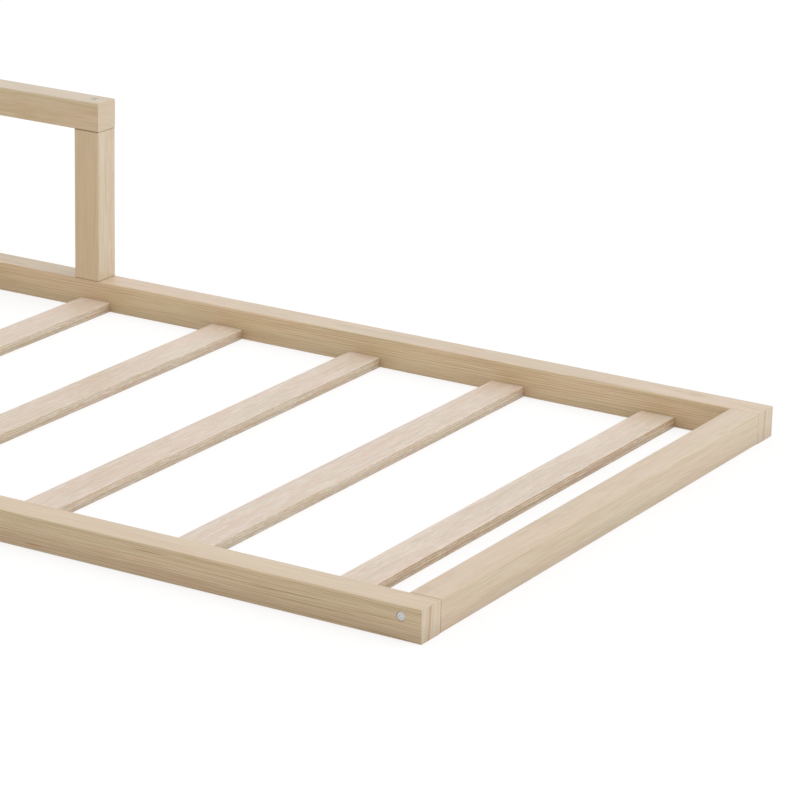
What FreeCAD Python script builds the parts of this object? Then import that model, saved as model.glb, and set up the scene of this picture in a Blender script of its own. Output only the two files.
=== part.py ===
import FreeCAD, Part
import math
import os

from FreeCAD import Matrix, Placement, Vector

# A low floor bed for a small child. Four square wooden bars make a frame that lies flat
# on the floor, slats cross it, and a guard of two posts and a top rail stands on the
# back bar beside the head end. Bolts with barrel nuts, and dowels, hold it together.
#
# Sizes are in millimetres. The floor is z = 0 and the origin lies under the middle of
# the bed. +X points to the foot end, +Y to the side with the guard, and +Z up.

# ---- Square bars of the frame and the guard ----
bar_size = 38.0
bar_edge_radius = 2.0
bar_end_radius = 0.6

# ---- Mattress between the bars ----
mattress_length = 1400.0
mattress_width = 700.0
mattress_end_gap = 13.0
mattress_side_gap = 16.0

# ---- Slats ----
slat_count = 7
slat_width = 46.0
slat_thickness = 13.0
slat_edge_radius = 1.2
slat_end_radius = 0.5
end_slat_inset = 95.0  # from an end rail's inner face to the middle of the nearest slat

# ---- Guard ----
guard_length = 512.0
guard_top_height = 275.0

# ---- Socket head bolts ----
bolt_diameter = 6.0
bolt_head_diameter = 10.0
bolt_head_height = 6.0
bolt_head_chamfer = 0.5
bolt_tip_chamfer = 1.0
bolt_head_recess = 0.3  # the head's top lies this far below the wood
bolt_past_nut = 6.5  # from the nut's middle to the bolt's tip
socket_across_flats = 4.0
socket_depth = 2.0
head_hole_clearance = 0.3
bolt_hole_clearance = 0.25
bolt_tip_space = 2.0

# ---- Barrel nuts ----
nut_diameter = 10.0
nut_length = 16.0
nut_chamfer = 0.5
nut_inset = 22.0  # from the joint's face to the nut's middle, along the bolt
nut_slot_width = 1.5
nut_slot_depth = 1.5
nut_thread_clearance = 0.05
nut_hole_clearance = 0.1
nut_hole_end_space = 0.5

# ---- Dowels ----
dowel_diameter = 8.0
dowel_length = 30.0
slat_dowel_diameter = 6.0
slat_dowel_length = 20.0
dowel_chamfer = 0.8
dowel_clearance = 0.05
dowel_end_space = 0.5

# ---- Places of the bolts and dowels, from the middle of the piece that they enter ----
corner_bolt_shift_in = 5.8
corner_bolt_shift_up = 7.1
corner_dowel_shift_out = 7.0
corner_dowel_shift_down = 7.0
post_dowel_shift = 10.5
slat_dowel_shift = 13.0

cutter_overshoot = 1.0  # how far a cutter runs out past the face that it opens

# ---- Sizes that follow ----
inner_length = mattress_length + 2 * mattress_end_gap
inner_width = mattress_width + 2 * mattress_side_gap
bed_length = inner_length + 2 * bar_size
bed_width = inner_width + 2 * bar_size
end_rail_x = (inner_length + bar_size) / 2
side_rail_y = (inner_width + bar_size) / 2
slat_pitch = (inner_length - 2 * end_slat_inset) / (slat_count - 1)
slat_dowel_z = slat_thickness / 2

guard_head_x = -inner_length / 2
guard_foot_x = guard_head_x + guard_length
head_post_x = guard_head_x + bar_size / 2
foot_post_x = guard_foot_x - bar_size / 2
guard_underside_z = guard_top_height - bar_size
post_height = guard_underside_z - bar_size

# Along a bolt, from the face that its head lies in
head_floor = bolt_head_recess + bolt_head_height
nut_middle = bar_size + nut_inset
bolt_tip = nut_middle + bolt_past_nut

ALONG_X = Vector(1, 0, 0)
ALONG_Y = Vector(0, 1, 0)
ALONG_Z = Vector(0, 0, 1)


# ---- Shared shapes ----
def edges_along(shape, direction):
    """Straight edges that run along a direction."""
    found = []
    for edge in shape.Edges:
        run = edge.Vertexes[-1].Point - edge.Vertexes[0].Point
        if run.Length > 0 and abs(run.normalize().dot(direction)) > 0.999:
            found.append(edge)
    return found


def end_edges(shape, direction):
    """Edges that lie in the two end faces of a piece that runs along a direction."""
    found = []
    for face in shape.Faces:
        if isinstance(face.Surface, Part.Plane) and abs(face.Surface.Axis.dot(direction)) > 0.999:
            found.extend(face.Edges)
    return found


def rounded_timber(size, middle, grain, edge_radius, end_radius):
    """Planed timber: its long edges are rounded, and its ends are eased a little."""
    corner = middle - size / 2
    timber = Part.makeBox(size.x, size.y, size.z, corner)
    sides = sorted((size.x, size.y, size.z))
    edge_limit = 0.45 * sides[0]
    long_radius = min(edge_radius, edge_limit)
    timber = timber.makeFillet(long_radius, edges_along(timber, grain))
    return timber.makeFillet(min(end_radius, 0.8 * long_radius), end_edges(timber, grain))


def set_in_place(origin, along, side):
    """Placement whose own +Z runs along a fastener and whose +X points to one side."""
    across = along.cross(side)
    return Placement(Matrix(
        side.x, across.x, along.x, origin.x,
        side.y, across.y, along.y, origin.y,
        side.z, across.z, along.z, origin.z,
        0, 0, 0, 1))


def put(shape, placement):
    return shape.transformed(placement.toMatrix())


def turned(outline):
    """Solid turned about Z from an outline of (radius, height) points."""
    points = [Vector(radius, 0, height) for radius, height in outline]
    wire = Part.makePolygon(points + [points[0]])
    return Part.Face(wire).revolve(Vector(0, 0, 0), ALONG_Z, 360)


# ---- Fasteners, each in its own frame ----
def socket_bolt():
    """Bolt along +Z. Height 0 is the face of the wood that its head is sunk into."""
    head_radius = bolt_head_diameter / 2
    shank_radius = bolt_diameter / 2
    bolt = turned([
        (0, bolt_head_recess),
        (head_radius - bolt_head_chamfer, bolt_head_recess),
        (head_radius, bolt_head_recess + bolt_head_chamfer),
        (head_radius, head_floor),
        (shank_radius, head_floor),
        (shank_radius, bolt_tip - bolt_tip_chamfer),
        (shank_radius - bolt_tip_chamfer, bolt_tip),
        (0, bolt_tip),
    ])
    corner_radius = socket_across_flats / 2 / math.cos(math.pi / 6)
    corners = []
    for step in range(7):
        angle = step * math.pi / 3
        corners.append(Vector(
            corner_radius * math.cos(angle),
            corner_radius * math.sin(angle),
            bolt_head_recess - cutter_overshoot))
    socket = Part.Face(Part.makePolygon(corners)).extrude(ALONG_Z * (socket_depth + cutter_overshoot))
    return bolt.cut(socket).Solids[0]


def barrel_nut():
    """Round nut that lies across the bolt. Its slotted end faces +X, the way it goes in."""
    radius = nut_diameter / 2
    blank = turned([
        (0, -nut_length / 2),
        (radius - nut_chamfer, -nut_length / 2),
        (radius, -nut_length / 2 + nut_chamfer),
        (radius, nut_length / 2 - nut_chamfer),
        (radius - nut_chamfer, nut_length / 2),
        (0, nut_length / 2),
    ])
    blank = put(blank, set_in_place(Vector(0, 0, nut_middle), ALONG_X, ALONG_Y))
    bore_radius = bolt_diameter / 2 + nut_thread_clearance
    bore = Part.makeCylinder(bore_radius, 2 * nut_diameter, Vector(0, 0, nut_middle - nut_diameter))
    slot = Part.makeBox(
        nut_slot_depth + cutter_overshoot,
        nut_slot_width,
        2 * nut_diameter,
        Vector(nut_length / 2 - nut_slot_depth, -nut_slot_width / 2, nut_middle - nut_diameter))
    return blank.cut(bore).cut(slot).Solids[0]


def bolt_holes(mouth_distance):
    """Cutters for one bolt and its nut. The nut's hole opens mouth_distance to the +X side."""
    head_hole = Part.makeCylinder(
        bolt_head_diameter / 2 + head_hole_clearance,
        head_floor + cutter_overshoot,
        Vector(0, 0, -cutter_overshoot))
    shank_hole = Part.makeCylinder(bolt_diameter / 2 + bolt_hole_clearance, bolt_tip + bolt_tip_space)
    nut_hole_end = nut_length / 2 + nut_hole_end_space
    nut_hole = Part.makeCylinder(
        nut_diameter / 2 + nut_hole_clearance,
        nut_hole_end + mouth_distance + cutter_overshoot,
        Vector(-nut_hole_end, 0, nut_middle),
        ALONG_X)
    return [head_hole, shank_hole, nut_hole]


def dowel(diameter, length):
    """Dowel along Z, half of it on each side of the joint's face at height 0."""
    radius = diameter / 2
    return turned([
        (0, -length / 2),
        (radius - dowel_chamfer, -length / 2),
        (radius, -length / 2 + dowel_chamfer),
        (radius, length / 2 - dowel_chamfer),
        (radius - dowel_chamfer, length / 2),
        (0, length / 2),
    ])


def dowel_hole(diameter, length):
    hole_length = length + 2 * dowel_end_space
    return Part.makeCylinder(
        diameter / 2 + dowel_clearance, hole_length, Vector(0, 0, -hole_length / 2))


# ---- Where every fastener goes ----
post_places = (head_post_x, foot_post_x)
slat_places = [-inner_length / 2 + end_slat_inset + step * slat_pitch for step in range(slat_count)]
corners = [(end, side) for end in (-1, 1) for side in (-1, 1)]


def corner_bolt_places():
    """Through each side rail into the end rail. The nuts go in from inside the bed."""
    places = []
    for end, side in corners:
        origin = Vector(
            end * (end_rail_x - corner_bolt_shift_in),
            side * bed_width / 2,
            bar_size / 2 + corner_bolt_shift_up)
        places.append(set_in_place(origin, ALONG_Y * -side, ALONG_X * -end))
    return places


def guard_bolt_places():
    """Down through the guard's top rail into each post. The nuts go in from behind."""
    return [
        set_in_place(Vector(post_x, side_rail_y, guard_top_height), ALONG_Z * -1, ALONG_Y)
        for post_x in post_places]


def base_bolt_places():
    """Up through the back side rail into each post. The nuts go in from behind."""
    return [
        set_in_place(Vector(post_x, side_rail_y, 0), ALONG_Z, ALONG_Y)
        for post_x in post_places]


def corner_dowel_places():
    places = []
    for end, side in corners:
        origin = Vector(
            end * (end_rail_x + corner_dowel_shift_out),
            side * inner_width / 2,
            bar_size / 2 - corner_dowel_shift_down)
        places.append(set_in_place(origin, ALONG_Y, ALONG_X))
    return places


def post_dowel_places(joint_z):
    """Two dowels in each post, on a diagonal of its section."""
    places = []
    for post_x in post_places:
        for way in (-1, 1):
            shift = way * post_dowel_shift
            origin = Vector(post_x + shift, side_rail_y + shift, joint_z)
            places.append(set_in_place(origin, ALONG_Z, ALONG_X))
    return places


def slat_dowel_places():
    """Two dowels in each end of each slat."""
    places = []
    for slat_x in slat_places:
        for side in (-1, 1):
            for way in (-1, 1):
                origin = Vector(slat_x + way * slat_dowel_shift, side * inner_width / 2, slat_dowel_z)
                places.append(set_in_place(origin, ALONG_Y, ALONG_X))
    return places


# ---- Timber ----
def side_rail(side):
    return rounded_timber(
        Vector(bed_length, bar_size, bar_size),
        Vector(0, side * side_rail_y, bar_size / 2),
        ALONG_X, bar_edge_radius, bar_end_radius)


def end_rail(end):
    return rounded_timber(
        Vector(bar_size, inner_width, bar_size),
        Vector(end * end_rail_x, 0, bar_size / 2),
        ALONG_Y, bar_edge_radius, bar_end_radius)


def slat(slat_x):
    return rounded_timber(
        Vector(slat_width, inner_width, slat_thickness),
        Vector(slat_x, 0, slat_thickness / 2),
        ALONG_Y, slat_edge_radius, slat_end_radius)


def guard_post(post_x):
    return rounded_timber(
        Vector(bar_size, bar_size, post_height),
        Vector(post_x, side_rail_y, bar_size + post_height / 2),
        ALONG_Z, bar_edge_radius, bar_end_radius)


def guard_rail():
    return rounded_timber(
        Vector(guard_length, bar_size, bar_size),
        Vector((guard_head_x + guard_foot_x) / 2, side_rail_y, guard_top_height - bar_size / 2),
        ALONG_X, bar_edge_radius, bar_end_radius)


def drilled(timber, holes):
    """The timber with every hole that reaches it drilled out."""
    for hole in holes:
        if timber.BoundBox.intersect(hole.BoundBox):
            timber = timber.cut(hole)
    return timber.Solids[0]


# ---- The whole bed ----
def all_holes():
    cuts = []
    corner_mouth = bar_size / 2 - corner_bolt_shift_in
    post_mouth = bar_size / 2
    for places, mouth in (
            (corner_bolt_places(), corner_mouth),
            (guard_bolt_places(), post_mouth),
            (base_bolt_places(), post_mouth)):
        for place in places:
            cuts.extend(put(cutter, place) for cutter in bolt_holes(mouth))
    for place in corner_dowel_places() + post_dowel_places(bar_size) + post_dowel_places(guard_underside_z):
        cuts.append(put(dowel_hole(dowel_diameter, dowel_length), place))
    for place in slat_dowel_places():
        cuts.append(put(dowel_hole(slat_dowel_diameter, slat_dowel_length), place))
    return cuts


def set_of(shape, places):
    """One piece repeated at several places, as separate solids."""
    return Part.makeCompound([put(shape, place) for place in places])


def timber_pieces():
    pieces = {
        "front_side_rail": side_rail(-1),
        "back_side_rail": side_rail(1),
        "head_end_rail": end_rail(-1),
        "foot_end_rail": end_rail(1),
        "guard_head_post": guard_post(head_post_x),
        "guard_foot_post": guard_post(foot_post_x),
        "guard_top_rail": guard_rail(),
    }
    for number, slat_x in enumerate(slat_places, start=1):
        pieces[f"slat_{number}"] = slat(slat_x)
    holes = all_holes()
    return {name: drilled(timber, holes) for name, timber in pieces.items()}


def fastener_pieces():
    bolt = socket_bolt()
    nut = barrel_nut()
    frame_dowel = dowel(dowel_diameter, dowel_length)
    slat_dowel = dowel(slat_dowel_diameter, slat_dowel_length)
    return {
        "corner_bolts": set_of(bolt, corner_bolt_places()),
        "corner_barrel_nuts": set_of(nut, corner_bolt_places()),
        "corner_dowels": set_of(frame_dowel, corner_dowel_places()),
        "guard_rail_bolts": set_of(bolt, guard_bolt_places()),
        "guard_rail_barrel_nuts": set_of(nut, guard_bolt_places()),
        "guard_rail_dowels": set_of(frame_dowel, post_dowel_places(guard_underside_z)),
        "post_base_bolts": set_of(bolt, base_bolt_places()),
        "post_base_barrel_nuts": set_of(nut, base_bolt_places()),
        "post_base_dowels": set_of(frame_dowel, post_dowel_places(bar_size)),
        "slat_dowels": set_of(slat_dowel, slat_dowel_places()),
    }


os.makedirs("parts", exist_ok=True)
for name, shape in {**timber_pieces(), **fastener_pieces()}.items():
    shape.exportStep(f"parts/{name}.step")
    print(f"{name}: {len(shape.Solids)} solid(s), {shape.Volume / 1000:.1f} cm3")
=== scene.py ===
import math

import bpy
from mathutils import Matrix, Vector


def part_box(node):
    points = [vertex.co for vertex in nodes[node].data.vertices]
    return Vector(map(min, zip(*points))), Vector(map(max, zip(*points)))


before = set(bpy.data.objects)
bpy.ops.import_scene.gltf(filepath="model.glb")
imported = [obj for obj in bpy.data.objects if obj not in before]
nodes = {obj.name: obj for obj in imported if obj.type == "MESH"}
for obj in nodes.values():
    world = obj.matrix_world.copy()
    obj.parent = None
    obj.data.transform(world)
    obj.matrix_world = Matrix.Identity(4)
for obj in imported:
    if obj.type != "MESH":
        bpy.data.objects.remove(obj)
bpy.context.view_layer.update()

# The looks of a toddler floor bed in pale pine. Blender works in metres. Grain sizes are in
# millimetres, because every wood material first turns its position into millimetres.

# ---------------------------------------------------------------- camera
lens_mm = 170.08
sensor_mm = 36.0
camera_place = Vector((2.5559, -3.4736, 1.4224))
camera_turn = 0.5391
camera_tilt_down = 0.3153
camera_roll = 0.0224
camera_near = 0.05
camera_far = 100.0

# ---------------------------------------------------------------- light
white = (1.0, 1.0, 1.0, 1.0)
ambient_strength = 0.72
background_strength = 1.0
key_strength = 0.96
key_direction = Vector((-0.64, -0.12, -0.75))
key_angle = math.radians(50)
floor_half_size = 30.0
floor_colour = (0.95, 0.95, 0.95, 1.0)
floor_seen_colour = (0.30, 0.30, 0.30, 1.0)
floor_seen_glow = 0.73

# ---------------------------------------------------------------- wood colours, linear
bar_top = (0.666, 0.525, 0.353)
back_rail_top = (0.676, 0.536, 0.370)
end_rail_top = (0.669, 0.530, 0.371)
bar_end = (0.602, 0.495, 0.340)
front_rail_side = (0.612, 0.476, 0.296)
back_rail_side = (0.721, 0.566, 0.354)
end_rail_side = (0.617, 0.503, 0.347)
post_front = (0.640, 0.497, 0.305)
post_side = (0.668, 0.560, 0.398)
guard_top = (0.624, 0.500, 0.345)
guard_side = (0.627, 0.491, 0.299)
guard_end = (0.619, 0.512, 0.352)
slat_top = (0.751, 0.648, 0.531)
slat_side = (0.611, 0.535, 0.403)
last_slat_top = (0.780, 0.672, 0.543)
last_slat_side = (0.618, 0.490, 0.302)
slat_chalk = (0.840, 0.765, 0.680)
bar_dark = (0.69, 0.62, 0.44)
slat_dark = (0.77, 0.65, 0.51)
last_slat_dark = (0.62, 0.50, 0.36)
warm_shift = (0.80, 0.60, 0.42)
pink_shift = (1.05, 0.98, 1.00)
resin_shift = (0.74, 0.52, 0.32)
# Painted shade in the gaps at butt joints.
painted_joint_shade_shift = (0.58, 0.46, 0.34)
# Painted shade towards the floor.
painted_floor_shade_shift = (0.74, 0.69, 0.64)
# Painted shade along a piece, darker towards one end.
painted_along_shade_shift = (0.90, 0.87, 0.82)
beech_pale = (0.560, 0.360, 0.220)
beech_dark = (0.380, 0.220, 0.120)
zinc_light = (0.640, 0.645, 0.650)
zinc_dark = (0.520, 0.525, 0.530)
zinc_metal = 0.25
zinc_mottle = (0.35, 0.70)  # noise from which the plating darkens, and where it is darkest
zinc_roughness = 0.40
zinc_roughness_swing = 0.22
zinc_scratch_fineness = 4.0  # scratches per millimetre
zinc_scratch_bump = 0.15
# Painted light down in a bolt's socket, against its shade.
painted_socket_light = (0.86, 0.86, 0.86)
socket_edge = 0.0001
beech_grain = (0.35, 0.65)
beech_grain_depth = 0.6
beech_fleck = (0.60, 0.70)
beech_fleck_fineness = 2.5  # flecks per millimetre
beech_fleck_depth = 0.5
beech_roughness = 0.45
beech_roughness_swing = 0.2
beech_bump = 0.2
fine_bump_height = 0.0001
mm_per_metre = 1000.0


class Graph:
    """The node tree of a material or of the world, built one node at a time."""

    def __init__(self, owner):
        owner.use_nodes = True
        self.tree = owner.node_tree
        self.tree.nodes.clear()

    def node(self, kind, inputs=None, **settings):
        made = self.tree.nodes.new(kind)
        for name, value in settings.items():
            setattr(made, name, value)
        for name, value in (inputs or {}).items():
            self.feed(made.inputs[name], value)
        return made

    def feed(self, socket, value):
        if isinstance(value, bpy.types.NodeSocket):
            self.tree.links.new(value, socket)
        else:
            socket.default_value = value

    def math(self, operation, *values):
        made = self.node("ShaderNodeMath", operation=operation)
        for socket, value in zip(made.inputs, values):
            self.feed(socket, value)
        return made.outputs[0]

    def step(self, value, start, end, low=0.0, high=1.0):
        """A smooth step of value from low at start to high at end."""
        made = self.node(
            "ShaderNodeMapRange",
            {"Value": value, "From Min": start, "From Max": end, "To Min": low, "To Max": high},
            interpolation_type="SMOOTHSTEP",
        )
        return made.outputs["Result"]

    def blend(self, share, first, second):
        """A number that is first where share is 0 and second where it is 1."""
        return self.node(
            "ShaderNodeMix", {"Factor": share, "A": first, "B": second}, data_type="FLOAT"
        ).outputs["Result"]

    def vector(self, x, y, z):
        return self.node("ShaderNodeCombineXYZ", {"X": x, "Y": y, "Z": z}).outputs[0]

    def noise(self, place, detail=2.0, roughness=0.5):
        """Smooth noise from about 0.2 to 0.8, one cell wide per unit of place."""
        return self.node(
            "ShaderNodeTexNoise",
            {"Vector": place, "Scale": 1.0, "Detail": detail, "Roughness": roughness},
        ).outputs["Fac"]

    def line_noise(self, value, detail=1.0):
        return self.node(
            "ShaderNodeTexNoise",
            {"W": value, "Scale": 1.0, "Detail": detail},
            noise_dimensions="1D",
        ).outputs["Fac"]

    def mix(self, share, first, second):
        """A colour that is first where share is 0 and second where it is 1."""
        made = self.node("ShaderNodeMix", data_type="RGBA")
        self.feed(made.inputs["Factor"], share)
        colour_inputs = [s for s in made.inputs if s.type == "RGBA"]
        self.feed(colour_inputs[0], opaque(first))
        self.feed(colour_inputs[1], opaque(second))
        return [s for s in made.outputs if s.type == "RGBA"][0]

    def stain(self, share, colour, shift):
        """A colour multiplied by shift, by as much as share says."""
        made = self.node("ShaderNodeMix", data_type="RGBA", blend_type="MULTIPLY")
        self.feed(made.inputs["Factor"], share)
        colour_inputs = [s for s in made.inputs if s.type == "RGBA"]
        self.feed(colour_inputs[0], opaque(colour))
        self.feed(colour_inputs[1], opaque(shift))
        return [s for s in made.outputs if s.type == "RGBA"][0]

    def scaled(self, place, scale):
        made = self.node(
            "ShaderNodeVectorMath", {"Vector": place, "Scale": scale}, operation="SCALE"
        )
        return made.outputs[0]

    def seen_directly(self):
        """1 for what the camera sees, itself or in a reflection or through glass."""
        paths = self.node("ShaderNodeLightPath").outputs
        mirrored = self.math("MAXIMUM", paths["Is Glossy Ray"], paths["Is Transmission Ray"])
        return self.math("MAXIMUM", paths["Is Camera Ray"], mirrored)


def opaque(colour):
    if isinstance(colour, tuple) and len(colour) == 3:
        return (*colour, 1.0)
    return colour


# ---------------------------------------------------------------- wood
# What each grain value means: "side" faces look across the piece, "top" ones up or down, and
# "end" ones along it. A heart is the log's middle, across and up from the piece's own middle.
# Depths of rings, fibres, painted shade along the piece, painted shade at joints and painted shade
# near the floor are shares from 0, none, to 1 or a little more.
bar_grain = {
    "side": end_rail_side,
    "top": bar_top,
    "end": bar_end,
    "dark": bar_dark,
    "ring_pitch": 3.0,
    "side_rings": 0.55,
    "top_rings": 0.40,
    "heart": (4.0, -150.0),
    "end_heart": (-300.0, 20.0),
    "end_pitch": 7.4,
    "end_rings": 0.70,
    "end_warmth": 0.75,
    "wander": 12.0,
    "wander_length": 380.0,
    "ripple": 4.0,
    "ripple_length": 30.0,
    "drift": (0.0, 0.0),
    # Painted shade along the piece, and its depth on top and side faces.
    "painted_along_shade": (-100.0, 100.0),
    "top_painted_along_shade": 0.0,
    "side_painted_along_shade": 0.0,
    "resin": [],
    "chalk": 0.0,
    "side_speckle": 0.0,
    # Depth of the painted shade at butt joints.
    "painted_joint_shade_depth": 0.0,
    # Painted shade near the floor: how high it reaches and how deep it is.
    "painted_floor_shade_height": 26.0,
    "painted_floor_shade_depth": 0.75,
    "edge_wear_and_highlight": 1.0,
    "side_fibres": 0.30,
    "top_fibres": 0.26,
    "fine_fibre": (40.0, 1.5),
    "broad_fibre": (110.0, 3.8),
    "pink": 0.8,
}
slat_grain = dict(
    bar_grain,
    side=slat_side,
    top=slat_top,
    end=slat_side,
    dark=slat_dark,
    ring_pitch=3.5,
    side_rings=1.2,
    top_rings=0.30,
    heart=(3.0, -110.0),
    wander=5.0,
    wander_length=300.0,
    ripple=2.0,
    painted_along_shade=(120.0, 330.0),
    top_painted_along_shade=0.68,
    edge_wear_and_highlight=0.4,
    side_fibres=0.60,
    top_fibres=0.50,
    fine_fibre=(18.0, 1.3),
    broad_fibre=(60.0, 2.0),
    pink=1.0,
    chalk=0.55,
    side_speckle=0.50,
    painted_joint_shade_depth=1.0,
    painted_floor_shade_height=13.0,
    painted_floor_shade_depth=0.9,
)
post_grain = dict(
    bar_grain,
    top=post_front,
    side=post_side,
    ring_pitch=4.2,
    heart=(160.0, 6.0),
    wander=6.0,
    side_rings=0.22,
    top_rings=0.14,
    top_fibres=0.22,
    edge_wear_and_highlight=0.4,
    painted_joint_shade_depth=1.0,
)
end_rail_grain = dict(
    bar_grain,
    top=end_rail_top,
    ring_pitch=3.6,
    side_rings=0.38,
    side_fibres=0.32,
    painted_along_shade=(-260.0, 200.0),
    top_painted_along_shade=0.25,
    side_painted_along_shade=0.35,
    painted_joint_shade_depth=1.0,
    painted_floor_shade_height=20.0,
)
guard_grain = dict(
    bar_grain,
    top=guard_top,
    side=guard_side,
    end=guard_end,
    heart=(-70.0, -6.0),
    top_fibres=0.50,
    side_rings=0.24,
    edge_wear_and_highlight=0.6,
    end_heart=(-20.0, -75.0),
    end_rings=0.22,
    end_warmth=0.0,
)
long_rail_grain = dict(
    bar_grain,
    ripple=2.0,
    wander=8.0,
    side_fibres=0.40,
    fine_fibre=(50.0, 1.2),
    broad_fibre=(140.0, 2.6),
)
# Resin streaks: middle along, half length, height above the middle, half thickness, slope.
front_resin = [
    (585.0, 62.0, 3.0, 0.9, 0.028),
    (690.0, 52.0, 1.5, 0.9, 0.0),
    (265.0, 17.0, -12.5, 1.1, 0.0),
    (415.0, 26.0, 11.0, 0.8, 0.02),
    (60.0, 80.0, -6.0, 0.9, 0.01),
    (-310.0, 70.0, 7.0, 0.9, -0.01),
]
timbers = {
    "front_side_rail": dict(
        long_rail_grain,
        axis="x",
        side=front_rail_side,
        ring_pitch=2.1,
        side_rings=1.0,
        heart=(25.0, -60.0),
        drift=(0.0, 0.008),
        end_heart=(-312.0, 20.0),
        resin=front_resin,
    ),
    "back_side_rail": dict(
        long_rail_grain,
        axis="x",
        side=back_rail_side,
        top=back_rail_top,
        top_rings=0.62,
        top_fibres=0.40,
        side_rings=0.80,
        drift=(0.0, -0.008),
        painted_floor_shade_depth=0.65,
        painted_along_shade=(-720.0, 740.0),
        top_painted_along_shade=0.6,
        side_painted_along_shade=0.9,
        end_heart=(-317.0, 20.0),
    ),
    "guard_top_rail": dict(guard_grain, axis="x"),
    "foot_end_rail": dict(end_rail_grain, axis="y"),
    "head_end_rail": dict(end_rail_grain, axis="y"),
    "guard_foot_post": dict(post_grain, axis="z"),
    "guard_head_post": dict(post_grain, axis="z"),
}
for number in range(1, 8):
    timbers[f"slat_{number}"] = dict(slat_grain, axis="y")
timbers["slat_7"].update(
    top=last_slat_top,
    side=last_slat_side,
    dark=last_slat_dark,
    top_rings=0.20,
    top_fibres=0.33,
)

axis_order = {"x": (0, 1, 2), "y": (1, 0, 2), "z": (2, 0, 1)}

# Where a face starts to count as an end or a side face, and where it fully does, by its normal.
end_facing = (0.55, 0.85)
side_facing = (0.45, 0.85)

# Growth rings. A late wood line darkens from the first share of a ring's width to the second,
# and stops from the third on.
ripple_thickness = 9.0
wander_thickness = 60.0
uneven_ring_pitch = 0.45
uneven_rings = 0.8
uneven_end_rings = 1.6
ring_seed_step = 17.0
late_wood_start = 0.35
late_wood_full = 0.80
late_wood_stop = 0.88
faintest_ring = 0.45
ring_swing = 0.55
patch_cell = (330.0, 14.0)
patch_noise = (0.30, 0.62)
patch_least = 0.45

# Fibres, patches and speckle: cells are (length, thickness), and noises (start, full).
fibre_noise = (0.43, 0.59)
pink_cell = (190.0, 11.0)
pink_noise = (0.35, 0.65)
pale_fibre_cell = (24.0, 1.5)
pale_fibre_noise = (0.50, 0.64)
speckle_cell = (7.0, 1.3)
speckle_noise = (0.48, 0.62)
warm_ring_from = 0.78
warm_ring_part = (0.10, 0.35)

# Resin, sanded edges lightened as wear and as a painted highlight, and painted shade at joints.
resin_depth = 0.8
resin_ripple = 0.5
resin_core = 0.1
resin_rim = 1.2
# Edges are lightened partly as real wear and partly as a painted highlight on the rounded arris.
edge_wear_and_highlight_start = 0.3
edge_wear_and_highlight_end = 1.9
edge_wear_and_highlight_depth = 0.16
edge_wear_and_highlight_wander = 2.0
edge_wear_and_highlight_bright = 1.12
joint_line = 1.1
joint_line_core = 0.4
wear_and_highlight_clear_of_joint = 3.0
joint_on_top = 0.06

# Surface.
grain_bump = 0.25
grain_bump_height = 0.0003
grain_bump_fibres = 0.6
wood_roughness = 0.50
fibre_roughness = 0.16
late_wood_roughness = -0.06
worn_roughness = -0.15
wood_ior = 1.5
lacquer = 1.0
lacquer_roughness = 0.42
lacquer_ior = 1.5
fuzz = 0.3
fuzz_roughness = 0.3
seed_step = 731.0


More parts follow.
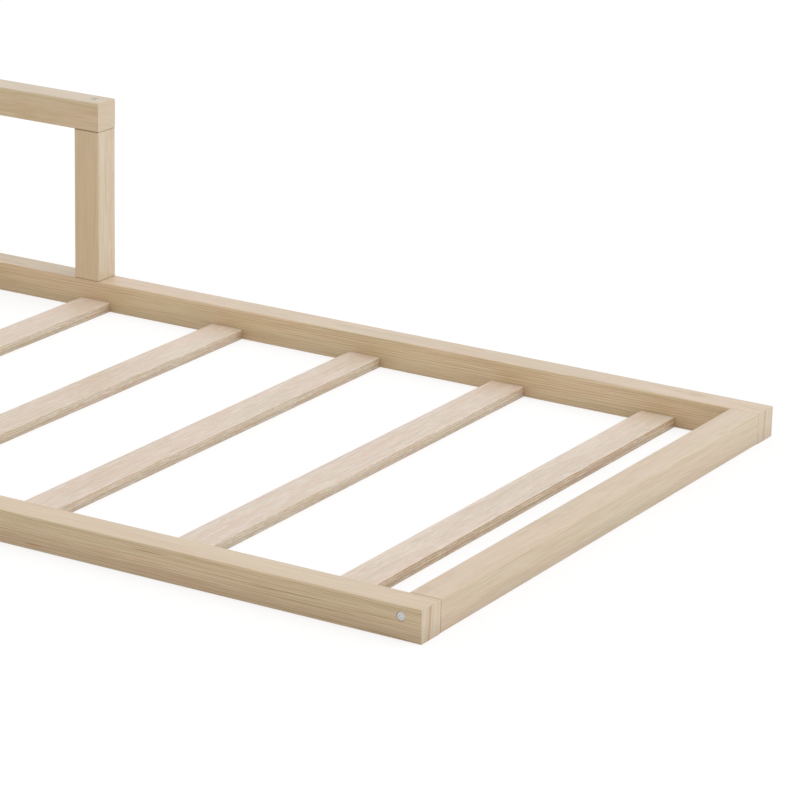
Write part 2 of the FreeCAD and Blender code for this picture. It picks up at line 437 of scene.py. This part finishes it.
def wood(name, grain, number):
    """Pine cut from a round log: rings about a heart outside the piece, fibres along it.

    Every piece has its own along, across and up. Its side faces look across, its top and
    bottom look up, and its sawn ends look along.
    """
    material = bpy.data.materials.new(name)
    g = Graph(material)
    low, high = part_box(name)
    order = axis_order[grain["axis"]]
    middle = [(low[i] + high[i]) / 2 * mm_per_metre for i in order]
    half = [(high[i] - low[i]) / 2 * mm_per_metre for i in order]

    place = g.node("ShaderNodeTexCoord").outputs["Object"]
    split = g.node("ShaderNodeSeparateXYZ", {"Vector": place}).outputs
    metres = [split[i] for i in order]
    along, across, up = [
        g.math("MULTIPLY_ADD", value, mm_per_metre, -centre)
        for value, centre in zip(metres, middle)
    ]
    seeded = g.math("ADD", along, number * seed_step)

    normal = g.node("ShaderNodeNewGeometry").outputs["Normal"]
    facing = g.node("ShaderNodeSeparateXYZ", {"Vector": normal}).outputs
    end_face = g.step(g.math("ABSOLUTE", facing[order[0]]), *end_facing)
    side_face = g.step(g.math("ABSOLUTE", facing[order[1]]), *side_facing)

    def by_face(kind):
        """A grain value that depends on which way the surface looks."""
        flat = g.blend(side_face, grain["top_" + kind], grain["side_" + kind])
        return g.blend(end_face, flat, grain.get("end_" + kind, 0.0))

    def stretched(length, thickness):
        """A place in cells that are length long and thickness wide and high."""
        return g.vector(
            g.math("DIVIDE", seeded, length),
            g.math("DIVIDE", across, thickness),
            g.math("DIVIDE", up, thickness),
        )

    def swings(length, thickness, detail, size):
        """Two smooth swings, across and up, of about size millimetres."""
        field = g.node(
            "ShaderNodeTexNoise",
            {"Vector": stretched(length, thickness), "Scale": 1.0, "Detail": detail},
        ).outputs["Color"]
        parts = g.node("ShaderNodeSeparateXYZ", {"Vector": field}).outputs
        return [g.math("MULTIPLY", g.math("SUBTRACT", part, 0.5), size) for part in parts[:2]]

    # Growth rings, which wander and ripple a little along the piece.
    calm = g.math("SUBTRACT", 1.0, end_face)
    ripples = swings(grain["ripple_length"], ripple_thickness, 1.0, grain["ripple"])
    offsets = []
    for value, swing, ripple, slope, heart, end_heart in zip(
        (across, up),
        swings(grain["wander_length"], wander_thickness, 2.0, grain["wander"]),
        ripples,
        grain["drift"],
        grain["heart"],
        grain["end_heart"],
    ):
        shift = g.math("MULTIPLY_ADD", along, slope, g.math("ADD", swing, ripple))
        moved = g.math("MULTIPLY_ADD", shift, calm, value)
        offsets.append(g.math("SUBTRACT", moved, g.blend(end_face, heart, end_heart)))
    squares = [g.math("MULTIPLY", offset, offset) for offset in offsets]
    radius = g.math("SQRT", g.math("ADD", *squares))
    pitch = g.blend(end_face, grain["ring_pitch"], grain["end_pitch"])
    even_count = g.math("DIVIDE", radius, pitch)
    unevenness = g.blend(end_face, uneven_rings, uneven_end_rings)
    uneven = g.line_noise(g.math("MULTIPLY", even_count, uneven_ring_pitch))
    count = g.math("MULTIPLY_ADD", uneven, unevenness, even_count)
    part = g.math("FRACT", count)
    ring_tone = g.node(
        "ShaderNodeTexWhiteNoise",
        {"W": g.math("ADD", g.math("FLOOR", count), number * ring_seed_step)},
        noise_dimensions="1D",
    ).outputs["Value"]
    darkening = g.step(part, late_wood_start, late_wood_full)
    stopping = g.step(part, late_wood_stop, 1.0, 1.0, 0.0)
    ring_depth = g.math("MULTIPLY_ADD", ring_tone, ring_swing, faintest_ring)
    late_wood = g.math("MULTIPLY", g.math("MULTIPLY", darkening, stopping), ring_depth)

    # Where the rings show strongly and where they fade.
    patch = g.step(g.noise(stretched(*patch_cell)), *patch_noise, patch_least, 1.0)
    ring_share = g.math("MULTIPLY", g.math("MULTIPLY", late_wood, patch), by_face("rings"))

    # Fibres: fine ones, and broader streaks.
    fine = g.noise(stretched(*grain["fine_fibre"]), 3.0, 0.6)
    broad = g.noise(stretched(*grain["broad_fibre"]), 2.0, 0.55)
    fibre = g.math("MULTIPLY", g.math("ADD", fine, broad), 0.5)
    fibre_share = g.math("MULTIPLY", g.step(fibre, *fibre_noise), by_face("fibres"))

    # Colour: each face's own, then pinker patches, painted shade along the piece, pale fibres,
    # rings and resin.
    colour = g.mix(side_face, grain["top"], grain["side"])
    colour = g.mix(end_face, colour, grain["end"])
    pink = g.step(g.noise(stretched(*pink_cell)), *pink_noise, 0.0, grain["pink"])
    colour = g.stain(pink, colour, pink_shift)
    # Painted shade along the piece, darker towards its low end; on the slats this leaves the far
    # ends by the back rail lighter, against the shade that falls there.
    painted_along_shade = g.math("MULTIPLY", g.step(along, *grain["painted_along_shade"], 1.0, 0.0), by_face("painted_along_shade"))
    colour = g.stain(painted_along_shade, colour, painted_along_shade_shift)
    pale_field = g.noise(stretched(*pale_fibre_cell), 2.0, 0.6)
    pale_fibre = g.step(pale_field, *pale_fibre_noise, 0.0, grain["chalk"])
    speckle_field = g.noise(stretched(*speckle_cell), 2.0, 0.6)
    speckle = g.step(speckle_field, *speckle_noise, 0.0, grain["side_speckle"])
    pale_share = g.blend(side_face, pale_fibre, speckle)
    colour = g.mix(pale_share, colour, slat_chalk)
    colour = g.stain(g.math("ADD", ring_share, fibre_share), colour, grain["dark"])
    warm = g.math("MULTIPLY", g.math("GREATER_THAN", ring_tone, warm_ring_from), end_face)
    warm = g.math("MULTIPLY", warm, grain["end_warmth"])
    warm = g.math("MULTIPLY", warm, g.step(part, *warm_ring_part))
    colour = g.stain(warm, colour, warm_shift)
    for streak_middle, half_length, streak_height, half_thickness, slope in grain["resin"]:
        reach = g.math("SUBTRACT", along, streak_middle)
        climb = g.math("MULTIPLY", reach, slope)
        rise = g.math("SUBTRACT", g.math("SUBTRACT", up, streak_height), climb)
        rise = g.math("ADD", rise, g.math("MULTIPLY", ripples[1], resin_ripple))
        rise = g.math("DIVIDE", rise, half_thickness)
        reach = g.math("DIVIDE", reach, half_length)
        outside = g.math("ADD", g.math("MULTIPLY", reach, reach), g.math("MULTIPLY", rise, rise))
        streak = g.step(outside, resin_core, resin_rim, resin_depth, 0.0)
        colour = g.stain(streak, colour, resin_shift)

    # Edges, where the arris was sanded and where a highlight on the rounding is painted: the
    # middle one of the three distances to the faces.
    gaps = [
        g.math("SUBTRACT", size, g.math("ABSOLUTE", value))
        for size, value in zip(half, (along, across, up))
    ]
    smaller = g.math("MINIMUM", gaps[1], gaps[2])
    larger = g.math("MAXIMUM", gaps[1], gaps[2])
    edge_gap = g.math("MAXIMUM", smaller, g.math("MINIMUM", larger, gaps[0]))
    edge_gap = g.math("MULTIPLY_ADD", g.math("SUBTRACT", broad, 0.5), edge_wear_and_highlight_wander, edge_gap)
    wear_and_highlight_depth = g.blend(end_face, edge_wear_and_highlight_depth * grain["edge_wear_and_highlight"], 0.0)
    wear_and_highlight = g.step(edge_gap, edge_wear_and_highlight_start, edge_wear_and_highlight_end, wear_and_highlight_depth, 0.0)
    clear_of_joint = g.step(gaps[0], joint_line, wear_and_highlight_clear_of_joint * joint_line)
    wear_and_highlight = g.math("MULTIPLY", wear_and_highlight, clear_of_joint)
    # The edge colour is partly real wear and partly a painted highlight.
    worn_and_highlit_colour = tuple(min(1.0, value * edge_wear_and_highlight_bright) for value in grain["top"])
    colour = g.mix(wear_and_highlight, colour, worn_and_highlit_colour)
    # Painted shade in the gap at butt joints.
    painted_joint_shade = g.step(gaps[0], joint_line_core * joint_line, joint_line, grain["painted_joint_shade_depth"], 0.0)
    if grain["axis"] != "z":
        painted_joint_shade = g.math("MULTIPLY", painted_joint_shade, g.blend(side_face, joint_on_top, 1.0))
    colour = g.stain(painted_joint_shade, colour, painted_joint_shade_shift)
    # Painted shade: the wood darkens towards the floor, standing in for the floor's occlusion.
    above_floor = g.math("MULTIPLY", split[2], mm_per_metre)
    painted_floor_shade = g.step(above_floor, 0.0, grain["painted_floor_shade_height"], grain["painted_floor_shade_depth"], 0.0)
    colour = g.stain(painted_floor_shade, colour, painted_floor_shade_shift)

    # Surface.
    raised = g.math("ADD", g.math("MULTIPLY", fine, grain_bump_fibres), late_wood)
    height = g.math("SUBTRACT", 1.0, raised)
    bump = g.node(
        "ShaderNodeBump",
        {"Strength": grain_bump, "Distance": grain_bump_height, "Height": height},
    )
    roughness = g.math("MULTIPLY_ADD", fine, fibre_roughness, wood_roughness - fibre_roughness / 2)
    roughness = g.math("MULTIPLY_ADD", late_wood, late_wood_roughness, roughness)
    roughness = g.math("MULTIPLY_ADD", wear_and_highlight, worn_roughness, roughness)
    shader = g.node(
        "ShaderNodeBsdfPrincipled",
        {
            "Base Color": colour,
            "Roughness": roughness,
            "IOR": wood_ior,
            "Coat Weight": lacquer,
            "Coat Roughness": lacquer_roughness,
            "Coat IOR": lacquer_ior,
            "Sheen Weight": fuzz,
            "Sheen Roughness": fuzz_roughness,
            "Normal": bump.outputs["Normal"],
        },
    )
    g.node("ShaderNodeOutputMaterial", {"Surface": shader.outputs[0]})
    return material


def zinc(name, head_axis=None):
    """Dull zinc plating with fine mottling, and painted light down in a bolt's socket against its
    shade.

    Where head_axis is given, the heads' flat faces are the outermost ones along it.
    """
    material = bpy.data.materials.new(name)
    g = Graph(material)
    place = g.node("ShaderNodeTexCoord").outputs["Object"]
    mottle = g.noise(g.scaled(place, mm_per_metre), 3.0, 0.6)
    scratch = g.noise(g.scaled(place, zinc_scratch_fineness * mm_per_metre), 2.0, 0.6)
    colour = g.mix(g.step(mottle, *zinc_mottle), zinc_light, zinc_dark)
    if head_axis is not None:
        head_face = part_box(name)[1][head_axis]
        outward = g.node("ShaderNodeSeparateXYZ", {"Vector": place}).outputs[head_axis]
        # Painted light: the socket, sunk below the head face, is coloured bright against its
        # shade.
        sunk = g.math("LESS_THAN", g.math("ABSOLUTE", outward), head_face - socket_edge)
        colour = g.mix(sunk, colour, painted_socket_light)
    roughness = g.math("MULTIPLY_ADD", mottle, zinc_roughness_swing, zinc_roughness)
    bump = g.node(
        "ShaderNodeBump",
        {"Strength": zinc_scratch_bump, "Distance": fine_bump_height, "Height": scratch},
    )
    shader = g.node(
        "ShaderNodeBsdfPrincipled",
        {
            "Base Color": colour,
            "Metallic": zinc_metal,
            "Roughness": roughness,
            "Normal": bump.outputs["Normal"],
        },
    )
    g.node("ShaderNodeOutputMaterial", {"Surface": shader.outputs[0]})
    return material


def beech(name):
    """Close-grained beech with short darker flecks."""
    material = bpy.data.materials.new(name)
    g = Graph(material)
    place = g.node("ShaderNodeTexCoord").outputs["Object"]
    grain = g.noise(g.scaled(place, mm_per_metre), 4.0, 0.6)
    fleck_field = g.noise(g.scaled(place, beech_fleck_fineness * mm_per_metre), 1.0, 0.5)
    fleck = g.step(fleck_field, *beech_fleck)
    colour = g.mix(g.step(grain, *beech_grain, 0.0, beech_grain_depth), beech_pale, beech_dark)
    colour = g.mix(g.math("MULTIPLY", fleck, beech_fleck_depth), colour, beech_dark)
    roughness = g.math("MULTIPLY_ADD", grain, beech_roughness_swing, beech_roughness)
    bump = g.node(
        "ShaderNodeBump",
        {"Strength": beech_bump, "Distance": fine_bump_height, "Height": grain},
    )
    shader = g.node(
        "ShaderNodeBsdfPrincipled",
        {"Base Color": colour, "Roughness": roughness, "Normal": bump.outputs["Normal"]},
    )
    g.node("ShaderNodeOutputMaterial", {"Surface": shader.outputs[0]})
    return material


def dress(node, material):
    for slot in node.material_slots:
        slot.link = "OBJECT"
        slot.material = material


# Bolts whose sockets are painted light against their shade, and the axis that their heads look
# along: 1 is Y.
head_axes = {"corner_bolts": 1}
zinc_material = zinc("zinc_plated_steel")
beech_material = beech("beech_dowels")
for number, (name, node) in enumerate(sorted(nodes.items())):
    if name in timbers:
        dress(node, wood(name, timbers[name], number))
    elif name.endswith("dowels"):
        dress(node, beech_material)
    elif name in head_axes:
        dress(node, zinc(name, head_axes[name]))
    else:
        dress(node, zinc_material)

# ---------------------------------------------------------------- floor, world, lamp, camera
floor_mesh = bpy.data.meshes.new("floor")
corners = [(-1, -1), (1, -1), (1, 1), (-1, 1)]
floor_mesh.from_pydata(
    [(x * floor_half_size, y * floor_half_size, 0.0) for x, y in corners], [], [(0, 1, 2, 3)]
)
floor = bpy.data.objects.new("floor", floor_mesh)
bpy.context.scene.collection.objects.link(floor)

floor_material = bpy.data.materials.new("floor")
floor_graph = Graph(floor_material)
bounce = floor_graph.node("ShaderNodeBsdfDiffuse", {"Color": floor_colour})
pale = floor_graph.node("ShaderNodeBsdfDiffuse", {"Color": floor_seen_colour})
glow = floor_graph.node("ShaderNodeEmission", {"Color": white, "Strength": floor_seen_glow})
seen_floor = floor_graph.node("ShaderNodeAddShader")
floor_graph.feed(seen_floor.inputs[0], pale.outputs[0])
floor_graph.feed(seen_floor.inputs[1], glow.outputs[0])
floor_choice = floor_graph.node("ShaderNodeMixShader")
floor_graph.feed(floor_choice.inputs[0], floor_graph.seen_directly())
floor_graph.feed(floor_choice.inputs[1], bounce.outputs[0])
floor_graph.feed(floor_choice.inputs[2], seen_floor.outputs[0])
floor_graph.node("ShaderNodeOutputMaterial", {"Surface": floor_choice.outputs[0]})
floor_mesh.materials.append(floor_material)

world = bpy.data.worlds.new("studio")
world_graph = Graph(world)
sky_strength = world_graph.blend(
    world_graph.seen_directly(), ambient_strength, background_strength
)
sky = world_graph.node("ShaderNodeBackground", {"Color": white, "Strength": sky_strength})
world_graph.node("ShaderNodeOutputWorld", {"Surface": sky.outputs[0]})
bpy.context.scene.world = world

key_data = bpy.data.lights.new("key", "SUN")
key_data.energy = key_strength
key_data.angle = key_angle
key = bpy.data.objects.new("key", key_data)
key.rotation_mode = "QUATERNION"
key.rotation_quaternion = key_direction.to_track_quat("-Z", "Y")
bpy.context.scene.collection.objects.link(key)

camera_data = bpy.data.cameras.new("camera")
camera_data.lens = lens_mm
camera_data.sensor_width = sensor_mm
camera_data.clip_start = camera_near
camera_data.clip_end = camera_far
camera = bpy.data.objects.new("camera", camera_data)
camera.matrix_world = (
    Matrix.Translation(camera_place)
    @ Matrix.Rotation(camera_turn, 4, "Z")
    @ Matrix.Rotation(math.pi / 2 - camera_tilt_down, 4, "X")
    @ Matrix.Rotation(camera_roll, 4, "Z")
)
bpy.context.scene.collection.objects.link(camera)
bpy.context.scene.camera = camera
bpy.context.scene.view_settings.view_transform = "Standard"
